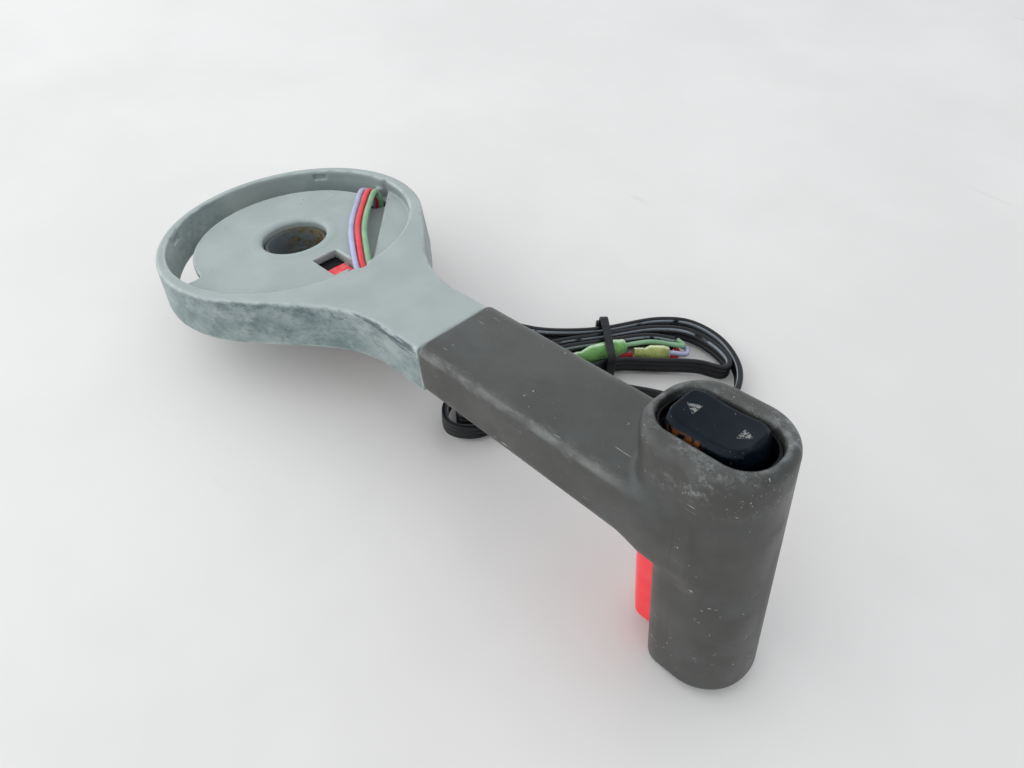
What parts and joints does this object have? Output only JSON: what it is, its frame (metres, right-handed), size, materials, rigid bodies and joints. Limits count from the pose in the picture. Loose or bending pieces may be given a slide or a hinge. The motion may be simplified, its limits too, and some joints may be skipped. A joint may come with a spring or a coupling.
{
  "type": "engine control lever",
  "caption": "Single-lever engine control handle: splined hub, painted arm, upright grip with rocker switch, red lock trigger, hub slider, coiled switch cable with plugs.",
  "frame": {"origin": "in the boss's end face, which rests on the control, 15 mm from the hub's axis towards the grip; the hub's axis is the line x = -0.015, y = 0", "axes": "+Z parallel to the hub's axis, out of the hub's open face; +X along the arm from the hub to the grip; +Y across, towards the side the wires leave the hub from"},
  "size_m": [0.2761, 0.1634, 0.092],
  "materials": {
    "painted_aluminium": "grey paint over cast aluminium, scuffed",
    "rusty_steel": "bare steel with surface rust",
    "grey_plastic": "moulded, fine grain, worn on the edges",
    "black_plastic": "moulded, satin",
    "black_rubber": "matte",
    "red_plastic": "moulded, satin with fine scratches",
    "steel": "plated",
    "brass": "bright",
    "clear_green": "translucent soft vinyl",
    "clear_yellow": "translucent soft vinyl",
    "wire_red": "smooth vinyl",
    "wire_green": "smooth vinyl",
    "wire_lilac": "smooth vinyl",
    "cable_jacket": "ribbed black vinyl with one pale strand"
  },
  "bodies": {
    "lever": {"lever_arm": "painted_aluminium", "spline_insert": "rusty_steel", "grip_shell": "grey_plastic", "channel_cover": "black_plastic", "cover_screw_1": "steel", "cover_screw_2": "steel", "grip_screw_1": "steel", "grip_screw_2": "steel", "switch_housing": "black_plastic", "switch_base": "black_plastic", "switch_seal": "black_rubber", "switch_terminal_down": "brass", "switch_terminal_common": "brass", "switch_terminal_up": "brass", "rocker_pin": "steel", "switch_screw": "steel", "slider_bumper": "black_rubber", "slider_guide_front": "black_plastic", "slider_guide_rear": "black_plastic", "return_spring": "steel", "wire_lilac": "wire_lilac", "wire_red": "wire_red", "wire_green": "wire_green", "cable_grommet": "black_rubber", "harness_cable": "cable_jacket", "cable_tie": "black_plastic", "plug_sleeve_green": "clear_green", "plug_pin_green": "brass", "plug_sleeve_yellow": "clear_yellow", "plug_pin_yellow": "brass", "plug_sleeve_red": "clear_green", "plug_pin_red": "brass", "lead_green": "wire_green", "lead_lilac": "wire_lilac", "lead_red": "wire_red"},
    "rocker": {"rocker": "black_plastic", "rocker_plunger": "brass", "plunger_spring": "steel"},
    "contact": {"contact_blade": "brass"},
    "lock": {"lock_trigger": "red_plastic", "lock_slider": "red_plastic", "slider_pin": "steel"}
  },
  "joints": [
    {"name": "rocker_tilt", "type": "hinge", "parent": "lever", "child": "rocker", "pos_m": [0.1878, 0, 0.046], "axis": [0, 1, 0], "range_deg": [-8, 8]},
    {"name": "contact_tilt", "type": "hinge", "parent": "lever", "child": "contact", "pos_m": [0.1878, 0, 0.0383], "axis": [0, 1, 0], "range_deg": [-8, 8]},
    {"name": "lock_pull", "type": "slide", "parent": "lever", "child": "lock", "axis": [1, 0, 0], "range_m": [0, 0.006], "deforming": ["return_spring"]}
  ],
  "couplings": [
    {"joint": "contact_tilt", "follows": "rocker_tilt", "ratio": -1}
  ]
}
